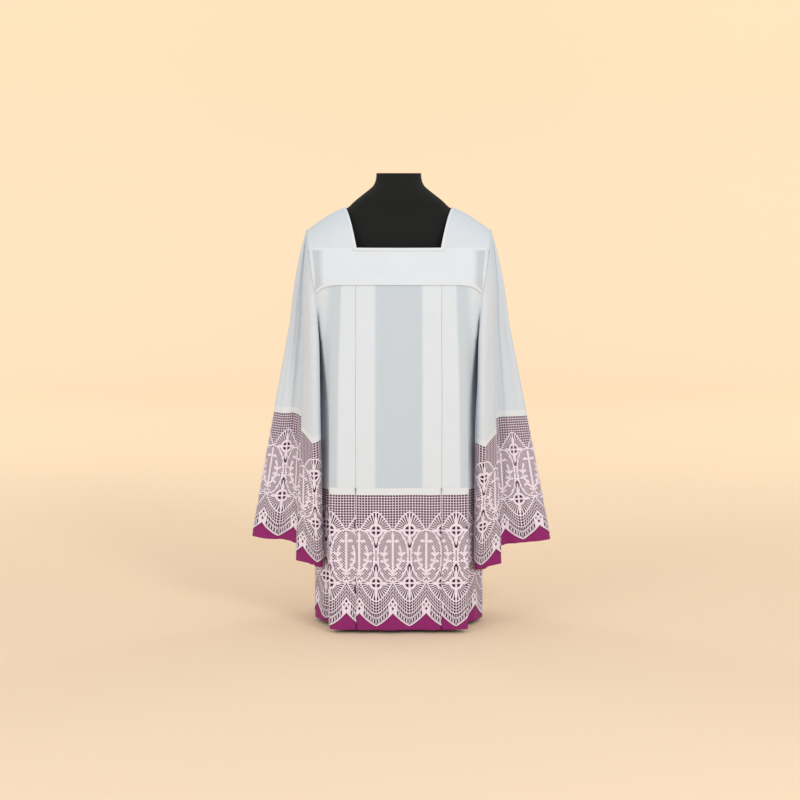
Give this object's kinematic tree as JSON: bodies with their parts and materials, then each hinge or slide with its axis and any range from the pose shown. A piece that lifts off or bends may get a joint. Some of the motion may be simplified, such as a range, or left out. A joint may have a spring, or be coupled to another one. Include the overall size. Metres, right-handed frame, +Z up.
{
  "type": "surplice on a dress form",
  "caption": "White pleated surplice with a square yoke, wide bell sleeves and lace borders over purple bands, shown on a black limbless dress form on a round base.",
  "frame": {"origin": "middle of the stand's underside, where it meets the floor", "axes": "+Z up, -Y towards the front of the garment, +X towards the wearer's left, which is the viewer's right"},
  "size_m": [0.7474, 0.2813, 1.115],
  "materials": {
    "cloth": "plain white cotton blend, matt",
    "lace": "white guipure lace",
    "purple_cloth": "plain purple red lining cloth, matt",
    "form_cover": "smooth black jersey over the form",
    "stand_metal": "black painted steel"
  },
  "bodies": {
    "root": {"form_torso": "form_cover", "stand_base": "stand_metal", "stand_collar": "stand_metal", "stand_post": "stand_metal", "yoke_front": "cloth", "yoke_back": "cloth", "yoke_shoulder_left": "cloth", "yoke_shoulder_right": "cloth", "neck_binding": "cloth", "panel_front": "cloth", "panel_back": "cloth", "hem_lace_front": "lace", "hem_lace_back": "lace", "hem_band_front": "purple_cloth", "hem_band_back": "purple_cloth", "sleeve_left": "cloth", "sleeve_right": "cloth", "cuff_lace_left_front": "lace", "cuff_lace_left_back": "lace", "cuff_lace_right_front": "lace", "cuff_lace_right_back": "lace", "cuff_band_left": "purple_cloth", "cuff_band_right": "purple_cloth"}
  },
  "joints": []
}
